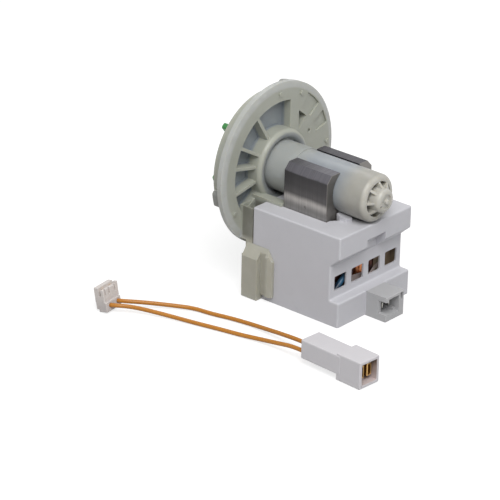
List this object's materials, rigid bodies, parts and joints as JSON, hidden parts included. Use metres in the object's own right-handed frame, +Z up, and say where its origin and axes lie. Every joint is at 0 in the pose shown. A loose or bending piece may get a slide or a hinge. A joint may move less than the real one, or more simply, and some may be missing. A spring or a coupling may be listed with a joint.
{
  "type": "washer drain pump",
  "caption": "Synchronous drain pump: round flange with spigot, rotor can, U-core coil housing with plug socket and bladed impeller, with a two-wire adapter lead.",
  "frame": {"origin": "below the middle of the pump's length and width, on the plane that the coil housing stands on; the lead isn't counted", "axes": "+X along the rotor axis towards the can's nose, -X towards the impeller and the pump volute, +Z up from the base to the rotor axis"},
  "size_m": [0.1479, 0.1332, 0.0999],
  "materials": {
    "natural_nylon": "satin moulded",
    "natural_nylon_can": "satin moulded",
    "black_rubber": "matte",
    "bush_carbon": "ground",
    "steel_bright": "ground",
    "ferrite": "ground",
    "black_plastic": "moulded",
    "green_plastic": "moulded",
    "laminated_steel": "stacked sheets",
    "bobbin_nylon": "moulded",
    "enamelled_copper": "wound wire",
    "tan_tape": "film tape",
    "blue_sleeve": "extruded",
    "white_housing": "fine moulded",
    "tinned_metal": "tinned",
    "white_connector": "moulded",
    "brass_contact": "stamped",
    "orange_insulation": "extruded",
    "white_plug": "moulded"
  },
  "bodies": {
    "root": {"flange_plate": "natural_nylon", "volute_seal": "black_rubber", "rotor_can": "natural_nylon_can", "can_seal": "black_rubber", "front_cover": "natural_nylon_can", "shaft_seal": "black_rubber", "front_bush": "bush_carbon", "front_bush_holder": "black_rubber", "nose_bush": "bush_carbon", "nose_bush_holder": "black_rubber", "stator_core": "laminated_steel", "bobbin_left": "bobbin_nylon", "bobbin_right": "bobbin_nylon", "winding_left": "enamelled_copper", "winding_right": "enamelled_copper", "winding_tape": "tan_tape", "thermal_fuse": "steel_bright", "fuse_sleeve": "blue_sleeve", "fuse_leads": "steel_bright", "coil_housing": "white_housing", "base_cover": "white_housing", "pump_tabs": "tinned_metal", "adapter_housing": "white_connector", "adapter_contacts": "brass_contact", "lead_wire_upper": "orange_insulation", "lead_wire_lower": "orange_insulation", "plug_housing": "white_plug", "plug_contacts": "brass_contact"},
    "rotor": {"shaft": "steel_bright", "rotor_magnet": "ferrite", "magnet_carrier": "black_plastic", "thrust_washers": "steel_bright", "clutch_driver": "black_plastic"},
    "wheel": {"impeller": "green_plastic", "clutch_cover": "green_plastic"}
  },
  "joints": [
    {"name": "rotor_spin", "type": "hinge", "parent": "root", "child": "rotor", "pos_m": [0, 0, 0.05875], "axis": [1, 0, 0], "continuous": true},
    {"name": "wheel_play", "type": "hinge", "parent": "rotor", "child": "wheel", "pos_m": [-0.0489, 0, 0.05875], "axis": [1, 0, 0], "range_deg": [-138, 138]}
  ]
}
